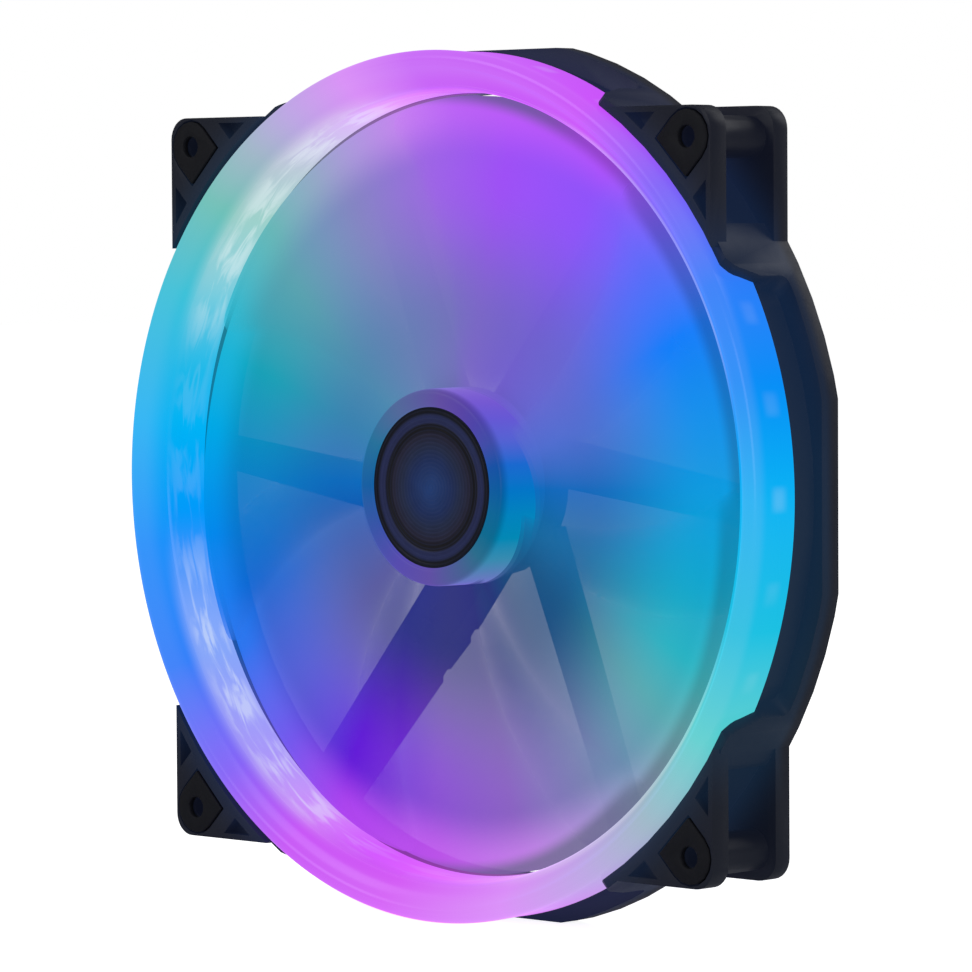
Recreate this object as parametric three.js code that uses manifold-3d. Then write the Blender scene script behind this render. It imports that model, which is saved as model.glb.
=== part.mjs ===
// A 200 mm case fan with a light-up diffuser ring, standing upright on its bottom flat.
//
// Every piece is drawn in the fan's own frame, in millimetres: the shaft lies on the Y axis,
// the intake faces -Y, and Y = 0 is the front face of the mounting pads. The last lines lift
// the whole fan so that the origin is in the middle of its base. Directions round the shaft
// are degrees from +X towards +Z, as seen from the intake side.

import * as THREE from "three";
import { mergeVertices } from "three/addons/utils/BufferGeometryUtils.js";
import Module from "manifold-3d";

const wasm = await Module();
wasm.setup();

// ---------------------------------------------------------------- driving dimensions

const CLEARANCE = 0.3;              // between pieces that touch
const PAST = 1;                     // how far a cutting tool runs past the face it cuts
const RIM_SIDES = 72;               // facets of the large rings
const HUB_SIDES = 36;               // facets of hub, motor and bearing pieces
const HOLE_SIDES = 16;              // facets of screw holes

// housing
const DEPTH = 25.4;                 // pad face to rear face
const HOUSING_RADIUS = 100;
const FLAT_HALF = 97.7;             // shaft to each of the four outer flats
const DUCT_RADIUS = 88;
const WALL_RADIUS = 95.5;           // housing wall inside the side recesses
const RIM_FRONT = 20;               // front of the rear rim
const RECESS_FRONT = 12;            // front of the side recesses
const BOARD_SHELF = 10.6;           // shelf that carries the light board
const LINER_FRONT = 14.6;           // black part of the duct wall starts here

// mounting lugs
const HOLE_HALF = 77;               // half of the 154 mm screw pitch
const HOLE_RADIUS = 2.4;
const LUG_HALF = 83.7;
const LUG_CORNER = 5;
const LUG_INNER_RADIUS = 99.4;
const FRONT_PLATE = [0.3, 5.4];     // front and rear of the front plate
const REAR_PLATE = [20.8, DEPTH];
const BOSS_RADIUS = 4.6;
const SOCKET_FRONT = 2.6;           // the wall that hides the ring at each lug starts here
const SOCKET_RADIUS = 97.75;
const POCKET_REAR = 3.3;            // floor of the pockets beside a pad
const HOLLOW_RADIUS = 98.7;         // housing wall between the plates of a lug
const HOLLOW_NEAR = [90, 14.6];     // a lug's hollow: distance from the shaft, half width
const HOLLOW_FAR = [110, 17.8];
const POCKET_RIM = 101.4;           // side of a pocket nearest the shaft
const POCKET_SIDE = 10.3;           // side along the pad, from the lug's diagonal
const POCKET_EDGE = 82.4;           // side along the lug's outer edge
const LUG_WALL_HALF = 28.8;         // the wall between two side recesses: half width
const LUG_WALL_FLARE = 2.4;         // its round into the rear rim
const LUG_WALL_SHOULDER = [27.2, 7];    // it narrows towards the front: half width, depth
const LUG_WALL_BEND = [26.6, 3.4];
const LUG_WALL_TIP = [22.8, 1.6];
const LUG_ANGLES = [45, 135, 225, 315];

// anti-vibration pads
const PAD_RADIUS = 5.9;
const PAD_INNER_END = 102.6;        // from the shaft, along the lug's diagonal
const PAD_THICKNESS = 1.6;
const PAD_GROOVE = 0.4;

// struts
const STRUT_ANGLES = [51.5, 111.5, 171.5, 291.5, 351.5];
const CHANNEL_STRUT_ANGLE = 231.5;
const STRUT_OFFSET = 8;             // centre lines pass the shaft at this distance
const STRUT_FRONT = 21.9;
const STRUT_START = 15;
const STRUT_END = 91;
const STRUT_ROOT_HALF = 5.4;
const STRUT_TIP_HALF = 3.8;
const CHANNEL_STRUT_FRONT = 18.3;
const CHANNEL_STRUT_LOW = [-0.2, -1.8];     // its two long edges, at the hub and at the rim
const CHANNEL_STRUT_HIGH = [13.8, 9.6];
const NOTCHES = [[47, 12.6], [34, 13.6]];   // shallow steps in the high edge
const NOTCH_DEPTH = 0.8;
const CHANNEL_CENTRE = 5.2;
const CHANNEL_HALF = 2.8;
const CHANNEL_FLOOR = 20;
const CHANNEL_END = 94.4;
const CHANNEL_WINDOWS = [           // openings to the front: along the strut, then across it
  [[31, 37], [-1.6, 2.6]],
  [[40.5, 43.5], [-0.6, 1.8]],
  [[55.5, 58.5], [-0.6, 1.8]],
  [[68.5, 78], [-2.2, 1.6]],
];
const LEAD_WIDTH = 4;
const LEAD_THICKNESS = 1.2;
const TAB_STARTS = [38, 60, 82];    // tabs that keep the lead in the channel
const TAB_SIZE = [5, 3.8, 1.2];     // along the strut, across it, along the shaft

// motor mount
const MOUNT_RADIUS = 20.5;
const MOUNT_FRONT = 17;
const MOUNT_FLOOR = 22.9;
const MOUNT_BORE = 19.3;
const TUBE_RADIUS = 5;
const TUBE_BORE = 3.5;
const TUBE_FRONT = 5.8;
const TUBE_FLOOR = 23.9;            // bottom of the bearing bore
const LABEL_RECESS = 0.4;
const LABEL_RECESS_RADIUS = 16.1;

// diffuser ring
const RING_RADIUS = 97.4;
const RING_REAR = 11.7;
const RING_INNER_REAR = 14.2;
const CREST_RADIUS = 95.2;          // middle of the rounded crest
const CREST_DEPTH = 0.3;
const CREST_ROUND = 2.2;
const MOUTH_EDGE = [89, 3.25];      // where the sloping mouth meets the inner wall
const RING_WALL = 1.6;

// light board
const LED_COUNT = 30;
const LED_RADIUS = 92.8;
const LED_SIZE = [2.8, 1.4, 3.4];   // along the radius, along the shaft, round the ring
const LED_SINK = 0.2;               // depth to which an LED is soldered into the board
const BOARD_FRONT = 9;
const BOARD_THICKNESS = 1.2;

// impeller
const BLADE_COUNT = 7;
const BLADE_TIP = 87.6;
const BLADE_ROOT = 21.7;
const BLADE_FRONT_ROOT = 7;
const BLADE_FRONT_TIP = 10.5;
const BLADE_REAR_ROOT = 14.2;
const BLADE_REAR_TIP = 17;
const BLADE_THICKNESS = 1.5;
const BLADE_ROOT_SPREAD = 74;       // degrees round the shaft, so each blade reaches past the next
const BLADE_TIP_SPREAD = 71;
const BLADE_SWEEP = 20;             // degrees that the tip leads the root
const BLADE_CAMBER = 0.9;
const TIP_TRIM = 2;                 // how much shorter a blade is at its leading edge
const LEADING_ROUND = 6;            // radii of the two rounded corners of a blade's tip
const TRAILING_ROUND = 4;
const BLADE_GRID = 6;               // facets along and across a blade
const HUB_RADIUS = 22.2;
const HUB_REAR = 14.6;
const HUB_BORE = 20.4;
const HUB_FACE = 2.7;               // inner face of the hub's front wall
const BADGE_RADIUS = 18;

// motor
const SHAFT_RADIUS = 1.5;
const SHAFT_RANGE = [3.1, 22.4];
const SLEEVE_BORE = 1.58;
const PRESS_FIT = 0.2;              // gap round a piece pressed into the bearing bore
const YOKE_RADIUS = 20;
const YOKE_WALL = 0.9;
const YOKE_RANGE = [3.1, 14.4];
const YOKE_HOLE = 3.5;
const MAGNET_RADII = [17.1, 18.8];
const MAGNET_RANGE = [4.4, 14];
const CLIP_GROOVE = [20.3, 21.1];
const GROOVE_RADIUS = 1.05;
const SLEEVE_RANGE = [7, 19.6];
const POLE_ANGLES = [0, 90, 180, 270];
const POLE_RADIUS = 16.2;
const POLE_GAP = 5;                 // slot between two pole shoes
const CORE_RANGE = [7.2, 13];
const ARM_HALF = 2.4;
const CORE_RING = 8;
const INSULATOR_THICKNESS = 0.55;
const COIL_HALF = 5.2;
const COIL_RANGE = [5, 15.2];
const COIL_WINDOW = [6.1, 14.1];
const COIL_ALONG = [9, 13];
const COIL_CORNER = 1.5;
const MOTOR_BOARD = [18.2, 19.3];

// ---------------------------------------------------------------- making and joining solids

const radians = (degrees) => degrees * Math.PI / 180;

// A closed geometry as a solid, with its faces turned outwards.
function solid(geometry) {
  const bare = geometry.clone();
  bare.deleteAttribute("normal");
  bare.deleteAttribute("uv");
  const merged = mergeVertices(bare, 1e-5);
  const corners = merged.index.array;
  const triangles = [];
  for (let i = 0; i < corners.length; i += 3) {
    const [a, b, c] = [corners[i], corners[i + 1], corners[i + 2]];
    const collapsed = a === b || b === c || c === a;
    if (!collapsed) triangles.push(a, b, c);
  }
  const vertices = new Float32Array(merged.attributes.position.array);
  const made = manifold(vertices, triangles);
  return made.volume() > 0 ? made : manifold(vertices, triangles.reverse());
}

function manifold(vertices, triangles) {
  return new wasm.Manifold(new wasm.Mesh({
    numProp: 3,
    vertProperties: vertices,
    triVerts: new Uint32Array(triangles),
  }));
}

const join = (...pieces) => pieces.flat().reduce((whole, piece) => whole.add(piece));
const cut = (whole, ...tools) => tools.flat().reduce((rest, tool) => rest.subtract(tool), whole);
const common = (first, second) => first.intersect(second);

// A solid of revolution round the shaft. The outline is a list of [radius, y] points.
function turned(outline, sides = HUB_SIDES) {
  const points = [...outline, outline[0]].map(([radius, y]) => new THREE.Vector2(radius, y));
  return solid(new THREE.LatheGeometry(points, sides));
}

function tube(innerRadius, outerRadius, front, rear, sides = HUB_SIDES) {
  const outline = [[innerRadius, front], [outerRadius, front], [outerRadius, rear], [innerRadius, rear]];
  return turned(outline, sides);
}

function disc(radius, front, rear, sides = HUB_SIDES) {
  return tube(0, radius, front, rear, sides);
}

// A shape drawn in X and Z, as seen from the intake, given thickness along the shaft.
function plate(shape, front, rear, angle = 0) {
  const settings = { depth: rear - front, bevelEnabled: false, curveSegments: 4 };
  const geometry = new THREE.ExtrudeGeometry(shape, settings);
  geometry.rotateX(Math.PI / 2);
  geometry.translate(0, rear, 0);
  geometry.rotateY(-radians(angle));
  return solid(geometry);
}

function polygon(points) {
  return new THREE.Shape(points.map(([x, y]) => new THREE.Vector2(x, y)));
}

// A block whose length runs out from the shaft in one direction.
// along, across and depth are [low, high] ranges: outwards, round the shaft, and in Y.
function block(angle, along, across, depth) {
  const [near, far] = along;
  const [low, high] = across;
  return plate(polygon([[near, low], [far, low], [far, high], [near, high]]), depth[0], depth[1], angle);
}

// A cylinder parallel to the shaft, centred at x and z.
function post(x, z, radius, front, rear, sides = HOLE_SIDES) {
  const geometry = new THREE.CylinderGeometry(radius, radius, rear - front, sides);
  geometry.translate(x, (front + rear) / 2, z);
  return solid(geometry);
}

const diagonalPoint = (angle, distance) => [
  Math.cos(radians(angle)) * distance,
  Math.sin(radians(angle)) * distance,
];

const atLugs = (make) => LUG_ANGLES.map((angle) => make(angle));
const holeDistance = HOLE_HALF * Math.SQRT2;

const fan = new THREE.Group();

function add(name, body, look) {
  const mesh = body.getMesh();
  const geometry = new THREE.BufferGeometry();
  geometry.setAttribute("position", new THREE.BufferAttribute(mesh.vertProperties, 3));
  geometry.setIndex(new THREE.BufferAttribute(mesh.triVerts, 1));
  geometry.computeVertexNormals();
  const part = new THREE.Mesh(geometry, look.clone());
  part.name = name;
  fan.add(part);
}

// ---------------------------------------------------------------- materials

const look = (color, roughness, metalness = 0) =>
  new THREE.MeshStandardMaterial({ color, roughness, metalness });

const frostedPlastic = new THREE.MeshStandardMaterial({
  color: 0xc9c4f2, roughness: 0.35, metalness: 0, transparent: true, opacity: 0.6,
});
const blackPlastic = look(0x2b2f36, 0.55);
const darkRubber = look(0x22262b, 0.8);
const whitePlastic = look(0xe8e8ea, 0.5);
const badgeFilm = look(0x24262c, 0.35);
const copper = look(0xb36a3a, 0.4, 0.9);
const brass = look(0xb9974f, 0.35, 1);
const steel = look(0xb8bcc2, 0.3, 1);
const magnetRubber = look(0x3c3a38, 0.7);
const boardGreen = look(0x1d5a3a, 0.6);
const boardWhite = look(0xf0f0ec, 0.5);
const chipBlack = look(0x17181a, 0.6);
const leadBlack = look(0x1a1b1d, 0.65);

// ---------------------------------------------------------------- housing

// Everything of the housing that is round: duct wall, rear rim and the wall behind the lugs.
function housingWall() {
  const chamfer = 0.8;
  const ringSeat = DUCT_RADIUS + RING_WALL + 2 * CLEARANCE;
  const core = turned([
    [DUCT_RADIUS, LINER_FRONT],
    [DUCT_RADIUS, DEPTH - chamfer],
    [DUCT_RADIUS + chamfer, DEPTH],
    [HOUSING_RADIUS, DEPTH],
    [HOUSING_RADIUS, RIM_FRONT],
    [WALL_RADIUS, RIM_FRONT],
    [WALL_RADIUS, BOARD_SHELF],
    [ringSeat, BOARD_SHELF],
    [ringSeat, LINER_FRONT],
  ], RIM_SIDES);
  const lugWall = turned([
    [SOCKET_RADIUS, SOCKET_FRONT],
    [HOUSING_RADIUS, SOCKET_FRONT],
    [HOUSING_RADIUS, RIM_FRONT + PAST],
    [WALL_RADIUS - 1, RIM_FRONT + PAST],
    [WALL_RADIUS - 1, RECESS_FRONT],
    [SOCKET_RADIUS, RECESS_FRONT],
  ], RIM_SIDES);
  return join(core, common(lugWall, join(atLugs(lugWindow))));
}

// The side view of the housing at a lug, pushed out from the shaft. It keeps the lug wall
// between two side recesses, and its edges curve in towards the front.
function lugWindow(angle) {
  const flared = LUG_WALL_HALF + LUG_WALL_FLARE;
  const right = new THREE.Shape();
  right.moveTo(flared, RIM_FRONT + 2 * PAST);
  right.lineTo(flared, RIM_FRONT);
  right.quadraticCurveTo(LUG_WALL_HALF, RIM_FRONT, LUG_WALL_HALF, RIM_FRONT - LUG_WALL_FLARE);
  right.lineTo(LUG_WALL_HALF, RING_REAR);
  right.lineTo(...LUG_WALL_SHOULDER);
  right.quadraticCurveTo(...LUG_WALL_BEND, ...LUG_WALL_TIP);
  const points = right.getPoints(5);
  const mirrored = points.map((point) => new THREE.Vector2(-point.x, point.y)).reverse();
  const outline = new THREE.Shape([...points, ...mirrored]);
  const reach = [DUCT_RADIUS - 8, HOUSING_RADIUS + 10];
  const geometry = new THREE.ExtrudeGeometry(outline, { depth: reach[1] - reach[0], bevelEnabled: false });
  geometry.translate(0, 0, reach[0]);
  geometry.rotateY(-radians(angle - 90));
  return solid(geometry);
}

function roundedSquare(half, corner) {
  const shape = new THREE.Shape();
  const inner = half - corner;
  shape.moveTo(-inner, -half);
  shape.lineTo(inner, -half);
  shape.absarc(inner, -inner, corner, -Math.PI / 2, 0);
  shape.absarc(inner, inner, corner, 0, Math.PI / 2);
  shape.absarc(-inner, inner, corner, Math.PI / 2, Math.PI);
  shape.absarc(-inner, -inner, corner, Math.PI, Math.PI * 1.5);
  return shape;
}

function lugPlates() {
  const square = roundedSquare(LUG_HALF, LUG_CORNER);
  const front = cut(
    plate(square, FRONT_PLATE[0], FRONT_PLATE[1]),
    disc(LUG_INNER_RADIUS, FRONT_PLATE[0] - PAST, FRONT_PLATE[1] + PAST, RIM_SIDES),
  );
  const rear = cut(
    plate(square, REAR_PLATE[0], REAR_PLATE[1]),
    disc(WALL_RADIUS + 2, REAR_PLATE[0] - PAST, REAR_PLATE[1] + PAST, RIM_SIDES),
  );
  const bosses = atLugs((angle) => {
    const [x, z] = diagonalPoint(angle, holeDistance);
    return post(x, z, BOSS_RADIUS, FRONT_PLATE[1] - PAST, REAR_PLATE[0] + PAST);
  });
  return join(front, rear, bosses);
}

// The outline of a pad: round at the screw hole, running in along the lug's diagonal.
function padShape(margin) {
  const radius = PAD_RADIUS + margin;
  const shape = new THREE.Shape();
  shape.moveTo(PAD_INNER_END - margin, -radius);
  shape.lineTo(holeDistance, -radius);
  shape.absarc(holeDistance, 0, radius, -Math.PI / 2, Math.PI / 2);
  shape.lineTo(PAD_INNER_END - margin, radius);
  return shape;
}

// The three-cornered pocket beside a pad, in the lug's own direction.
function pocketShape(sign) {
  const inLugDirection = ([x, z]) => [(x + z) / Math.SQRT2, sign * (x - z) / Math.SQRT2];
  const nearRim = [Math.sqrt(POCKET_RIM ** 2 - POCKET_SIDE ** 2), sign * POCKET_SIDE];
  const nearPad = inLugDirection([POCKET_EDGE, POCKET_EDGE - POCKET_SIDE * Math.SQRT2]);
  const atEdge = inLugDirection([POCKET_EDGE, Math.sqrt(POCKET_RIM ** 2 - POCKET_EDGE ** 2)]);
  return polygon([nearRim, nearPad, atEdge]);
}

// The screw hole, both pad seats, the two pockets and the hollow between the plates of one lug.
function lugCuts(angle) {
  const [x, z] = diagonalPoint(angle, holeDistance);
  const seatDepth = PAD_THICKNESS + CLEARANCE;
  const [near, nearHalf] = HOLLOW_NEAR;
  const [far, farHalf] = HOLLOW_FAR;
  const wedge = polygon([[near, -nearHalf], [far, -farHalf], [far, farHalf], [near, nearHalf]]);
  const hollow = common(
    tube(HOLLOW_RADIUS, HOUSING_RADIUS + PAST, FRONT_PLATE[1], REAR_PLATE[0], RIM_SIDES),
    plate(wedge, FRONT_PLATE[1], REAR_PLATE[0], angle),
  );
  return [
    post(x, z, HOLE_RADIUS, -PAST, DEPTH + PAST),
    plate(padShape(PAD_GROOVE), -PAST, seatDepth, angle),
    plate(padShape(PAD_GROOVE), DEPTH - seatDepth, DEPTH + PAST, angle),
    plate(pocketShape(1), -PAST, POCKET_REAR, angle),
    plate(pocketShape(-1), -PAST, POCKET_REAR, angle),
    hollow,
  ];
}

function strut(angle) {
  const outline = [
    [STRUT_START, STRUT_OFFSET - STRUT_ROOT_HALF],
    [STRUT_END, STRUT_OFFSET - STRUT_TIP_HALF],
    [STRUT_END, STRUT_OFFSET + STRUT_TIP_HALF],
    [STRUT_START, STRUT_OFFSET + STRUT_ROOT_HALF],
  ];
  return plate(polygon(outline), STRUT_FRONT, DEPTH, angle);
}

// The wide strut that carries the lamp lead. Its outer edge has two shallow steps.
function channelStrut() {
  const start = STRUT_START - PAST;
  const notches = NOTCHES.flatMap(([along, across]) => [
    [along + 2, across],
    [along + 1, across - NOTCH_DEPTH],
    [along - 1, across - NOTCH_DEPTH],
    [along - 2, across],
  ]);
  const outline = [
    [start, CHANNEL_STRUT_LOW[0]],
    [STRUT_END, CHANNEL_STRUT_LOW[1]],
    [STRUT_END, CHANNEL_STRUT_HIGH[1]],
    ...notches,
    [start, CHANNEL_STRUT_HIGH[0]],
  ];
  return plate(polygon(outline), CHANNEL_STRUT_FRONT, DEPTH, CHANNEL_STRUT_ANGLE);
}

function channelCuts() {
  const sides = [CHANNEL_CENTRE - CHANNEL_HALF, CHANNEL_CENTRE + CHANNEL_HALF];
  const inChannel = (along, across, depth) => block(CHANNEL_STRUT_ANGLE, along, across, depth);
  const channel = inChannel([STRUT_START - 3, CHANNEL_END], sides, [CHANNEL_FLOOR, DEPTH + PAST]);
  const leadHole = inChannel([CHANNEL_END - 3.4, CHANNEL_END], sides, [BOARD_SHELF - PAST, DEPTH]);
  const windows = CHANNEL_WINDOWS.map(([along, across]) => inChannel(
    along,
    across.map((offset) => CHANNEL_CENTRE + offset),
    [CHANNEL_STRUT_FRONT - PAST, CHANNEL_FLOOR + PAST],
  ));
  return [channel, leadHole, ...windows];
}

// Small tabs that reach over the open side of the channel, from its two sides by turns.
function channelTabs() {
  const [length, reach, thickness] = TAB_SIZE;
  const low = CHANNEL_CENTRE - CHANNEL_HALF - 0.5;
  const high = CHANNEL_CENTRE + CHANNEL_HALF + 0.5;
  return TAB_STARTS.map((along, index) => {
    const across = index % 2 ? [low, low + reach] : [high - reach, high];
    return block(CHANNEL_STRUT_ANGLE, [along, along + length], across, [DEPTH - thickness, DEPTH]);
  });
}

function motorMount() {
  const edge = MOUNT_RADIUS - 1.6;
  return turned([
    [0, DEPTH - LABEL_RECESS],
    [LABEL_RECESS_RADIUS, DEPTH - LABEL_RECESS],
    [LABEL_RECESS_RADIUS, DEPTH],
    [edge, DEPTH],
    [MOUNT_RADIUS, DEPTH - 2],
    [MOUNT_RADIUS, MOUNT_FRONT],
    [MOUNT_BORE, MOUNT_FRONT],
    [MOUNT_BORE, MOUNT_FLOOR],
    [TUBE_RADIUS + 1, MOUNT_FLOOR],
    [TUBE_RADIUS, MOUNT_FLOOR - 1],
    [TUBE_RADIUS, TUBE_FRONT],
    [TUBE_BORE, TUBE_FRONT],
    [TUBE_BORE, TUBE_FLOOR],
    [0, TUBE_FLOOR],
  ]);
}

function housing() {
  const motorSpace = tube(TUBE_RADIUS + 0.5, MOUNT_BORE, MOUNT_FRONT - PAST, MOUNT_FLOOR);
  const labelRecess = disc(LABEL_RECESS_RADIUS, DEPTH - LABEL_RECESS, DEPTH + PAST);
  const arms = cut(join(STRUT_ANGLES.map(strut), channelStrut()), motorSpace, labelRecess);
  const flats = plate(polygon([
    [-FLAT_HALF, -FLAT_HALF], [FLAT_HALF, -FLAT_HALF], [FLAT_HALF, FLAT_HALF], [-FLAT_HALF, FLAT_HALF],
  ]), -PAST, DEPTH + PAST);
  const armsInside = common(arms, disc(RING_RADIUS, 0, DEPTH, RIM_SIDES));
  const whole = join(housingWall(), lugPlates(), armsInside, motorMount());
  const trimmed = common(cut(whole, LUG_ANGLES.flatMap(lugCuts), channelCuts()), flats);
  return join(trimmed, channelTabs());
}

add("frame", housing(), blackPlastic);

// ---------------------------------------------------------------- pads

function pad(angle, front) {
  const [x, z] = diagonalPoint(angle, holeDistance);
  const body = plate(padShape(0), front, front + PAD_THICKNESS, angle);
  return cut(body, post(x, z, HOLE_RADIUS, front - PAST, front + PAD_THICKNESS + PAST));
}

const CORNER_NAMES = ["top_right", "top_left", "bottom_left", "bottom_right"];
LUG_ANGLES.forEach((angle, index) => {
  add(`front_pad_${CORNER_NAMES[index]}`, pad(angle, 0), darkRubber);
  add(`rear_pad_${CORNER_NAMES[index]}`, pad(angle, DEPTH - PAD_THICKNESS), darkRubber);
});

// ---------------------------------------------------------------- diffuser ring

// A hollow ring, open at the rear: rounded crest, mouth sloping in to the duct, inner wall.
function diffuserRing() {
  const crest = (radius, from, to, steps) => Array.from({ length: steps + 1 }, (_, step) => {
    const angle = radians(from + (to - from) * step / steps);
    return [CREST_RADIUS + Math.cos(angle) * radius, CREST_DEPTH - Math.sin(angle) * radius];
  });
  const inside = CREST_ROUND - RING_WALL + 0.3;
  return turned([
    [RING_RADIUS, RING_REAR],
    ...crest(CREST_ROUND, 0, 135, 6),
    [MOUTH_EDGE[0] + 0.5, MOUTH_EDGE[1] - 0.5],
    [MOUTH_EDGE[0] - 0.1, MOUTH_EDGE[1] + 0.6],
    [DUCT_RADIUS + 0.5, 5.4],
    [DUCT_RADIUS, RING_INNER_REAR],
    [DUCT_RADIUS + RING_WALL, RING_INNER_REAR],
    [DUCT_RADIUS + RING_WALL + 0.4, 5.6],
    [CREST_RADIUS - inside, CREST_DEPTH + 0.4],
    ...crest(inside, 60, 0, 2),
    [RING_RADIUS - RING_WALL + 0.1, RING_REAR],
  ], RIM_SIDES);
}

add("diffuser_ring", diffuserRing(), frostedPlastic);

// ---------------------------------------------------------------- light board

function lightBoard() {
  const boardRear = BOARD_FRONT + BOARD_THICKNESS;
  const board = tube(DUCT_RADIUS + 2.5, RING_RADIUS - 2.2, BOARD_FRONT, boardRear, RIM_SIDES);
  const [width, height, length] = LED_SIZE;
  const leds = Array.from({ length: LED_COUNT }, (_, index) => block(
    index * 360 / LED_COUNT,
    [LED_RADIUS - width / 2, LED_RADIUS + width / 2],
    [-length / 2, length / 2],
    [BOARD_FRONT - height, BOARD_FRONT + LED_SINK],
  ));
  return join(board, leds);
}

add("light_board", lightBoard(), boardWhite);

// The flat lead in the channel strut, from the motor mount to the back of the light board.
function lampLead() {
  const low = CHANNEL_FLOOR + 2 * CLEARANCE;
  const high = low + LEAD_THICKNESS;
  const front = BOARD_FRONT + BOARD_THICKNESS + CLEARANCE;
  const bend = CHANNEL_END - 1.6;
  const inside = bend - LEAD_THICKNESS;
  const shape = polygon([
    [STRUT_START, low], [inside, low], [inside, front], [bend, front], [bend, high], [STRUT_START, high],
  ]);
  const geometry = new THREE.ExtrudeGeometry(shape, { depth: LEAD_WIDTH, bevelEnabled: false });
  geometry.translate(0, 0, CHANNEL_CENTRE - LEAD_WIDTH / 2);
  geometry.rotateY(-radians(CHANNEL_STRUT_ANGLE));
  return solid(geometry);
}

add("lamp_lead", lampLead(), leadBlack);

// ---------------------------------------------------------------- impeller

// One blade: a thin block bent so that its length runs out from the hub and its width
// follows a pitched, cambered curve from the leading edge in front to the trailing edge.
function blade(angle) {
  const { lerp } = THREE.MathUtils;
  const geometry = new THREE.BoxGeometry(1, 1, 1, BLADE_GRID, 1, BLADE_GRID);
  const place = geometry.attributes.position;
  for (let i = 0; i < place.count; i += 1) {
    const side = place.getY(i);
    const back = 0.5 + Math.sin(Math.PI * place.getZ(i)) / 2;
    const radius = lerp(BLADE_ROOT, BLADE_TIP - cornerCut(back), place.getX(i) + 0.5);
    const out = (radius - BLADE_ROOT) / (BLADE_TIP - BLADE_ROOT);
    const spread = lerp(BLADE_ROOT_SPREAD, BLADE_TIP_SPREAD, out);
    const turn = radians(angle + BLADE_SWEEP * out ** 1.4 - (back - 0.5) * spread);
    const front = lerp(BLADE_FRONT_ROOT, BLADE_FRONT_TIP, out);
    const rear = lerp(BLADE_REAR_ROOT, BLADE_REAR_TIP, Math.min(1, out * 1.6));
    const camber = Math.sin(Math.PI * back) * BLADE_CAMBER;
    const edgeTaper = 1 - 0.45 * Math.abs(2 * back - 1) ** 3;
    const inset = BLADE_THICKNESS / 2;
    const middle = lerp(front + inset, rear - inset, back) + camber;
    const y = middle + side * BLADE_THICKNESS * edgeTaper;
    place.setXYZ(i, Math.cos(turn) * radius, y, Math.sin(turn) * radius);
  }
  return solid(geometry);
}

// How much shorter than its tip radius a blade is, at a share of the way back along its tip.
function cornerCut(back) {
  const chord = radians(BLADE_TIP_SPREAD) * BLADE_TIP;
  const cutAt = (distance, round) => {
    const inside = Math.max(0, round - distance);
    return round - Math.sqrt(round ** 2 - inside ** 2);
  };
  const trim = TIP_TRIM * Math.max(0, 1 - 2 * back) ** 2;
  return trim + cutAt(back * chord, LEADING_ROUND) + cutAt((1 - back) * chord, TRAILING_ROUND);
}

function impeller() {
  const hub = turned([
    [0, 1],
    [BADGE_RADIUS + 0.3, 1],
    [BADGE_RADIUS + 0.3, 0.4],
    [BADGE_RADIUS + 1.4, 0],
    [HUB_RADIUS - 1.9, 0],
    [HUB_RADIUS - 0.7, 0.5],
    [HUB_RADIUS - 0.1, 1.7],
    [HUB_RADIUS, HUB_REAR],
    [HUB_BORE, HUB_REAR],
    [HUB_BORE, HUB_FACE],
    [0, HUB_FACE],
  ]);
  const blades = Array.from({ length: BLADE_COUNT }, (_, index) => blade(index * 360 / BLADE_COUNT));
  return join(hub, blades);
}

add("impeller", impeller(), frostedPlastic);
add("hub_badge", disc(BADGE_RADIUS, 0.6, 0.95), badgeFilm);

// ---------------------------------------------------------------- rotor iron and shaft

function yoke() {
  const [front, rear] = YOKE_RANGE;
  const corner = 0.6;
  return turned([
    [YOKE_HOLE, front],
    [YOKE_RADIUS - corner, front],
    [YOKE_RADIUS, front + corner],
    [YOKE_RADIUS, rear],
    [YOKE_RADIUS - YOKE_WALL, rear],
    [YOKE_RADIUS - YOKE_WALL, front + YOKE_WALL],
    [YOKE_HOLE, front + YOKE_WALL],
  ]);
}

function shaft() {
  const [front, rear] = SHAFT_RANGE;
  const point = 0.6;
  return turned([
    [0, front],
    [SHAFT_RADIUS, front],
    [SHAFT_RADIUS, CLIP_GROOVE[0]],
    [GROOVE_RADIUS, CLIP_GROOVE[0]],
    [GROOVE_RADIUS, CLIP_GROOVE[1]],
    [SHAFT_RADIUS, CLIP_GROOVE[1]],
    [SHAFT_RADIUS, rear - point],
    [point, rear],
    [0, rear],
  ]);
}

// A split ring that snaps into the groove near the shaft's end.
function shaftClip() {
  const [front, rear] = [CLIP_GROOVE[0] + 0.2, CLIP_GROOVE[1] - 0.2];
  const split = block(90, [0, 4], [-0.4, 0.4], [front - PAST, rear + PAST]);
  return cut(tube(GROOVE_RADIUS + 0.1, 2.6, front, rear), split);
}

add("rotor_yoke", yoke(), steel);
add("ring_magnet", tube(...MAGNET_RADII, ...MAGNET_RANGE), magnetRubber);
add("shaft_bush", tube(SLEEVE_BORE, YOKE_HOLE - CLEARANCE, YOKE_RANGE[0], 5.5), brass);
add("shaft", shaft(), steel);
add("shaft_clip", shaftClip(), steel);

// ---------------------------------------------------------------- bearing

function bearingSleeve() {
  const [front, rear] = SLEEVE_RANGE;
  const outside = TUBE_BORE - PRESS_FIT;
  const chamfer = 0.3;
  return turned([
    [SLEEVE_BORE, front + chamfer],
    [SLEEVE_BORE + chamfer, front],
    [outside - chamfer, front],
    [outside, front + chamfer],
    [outside, rear - chamfer],
    [outside - chamfer, rear],
    [SLEEVE_BORE + chamfer, rear],
    [SLEEVE_BORE, rear - chamfer],
  ]);
}

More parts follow.
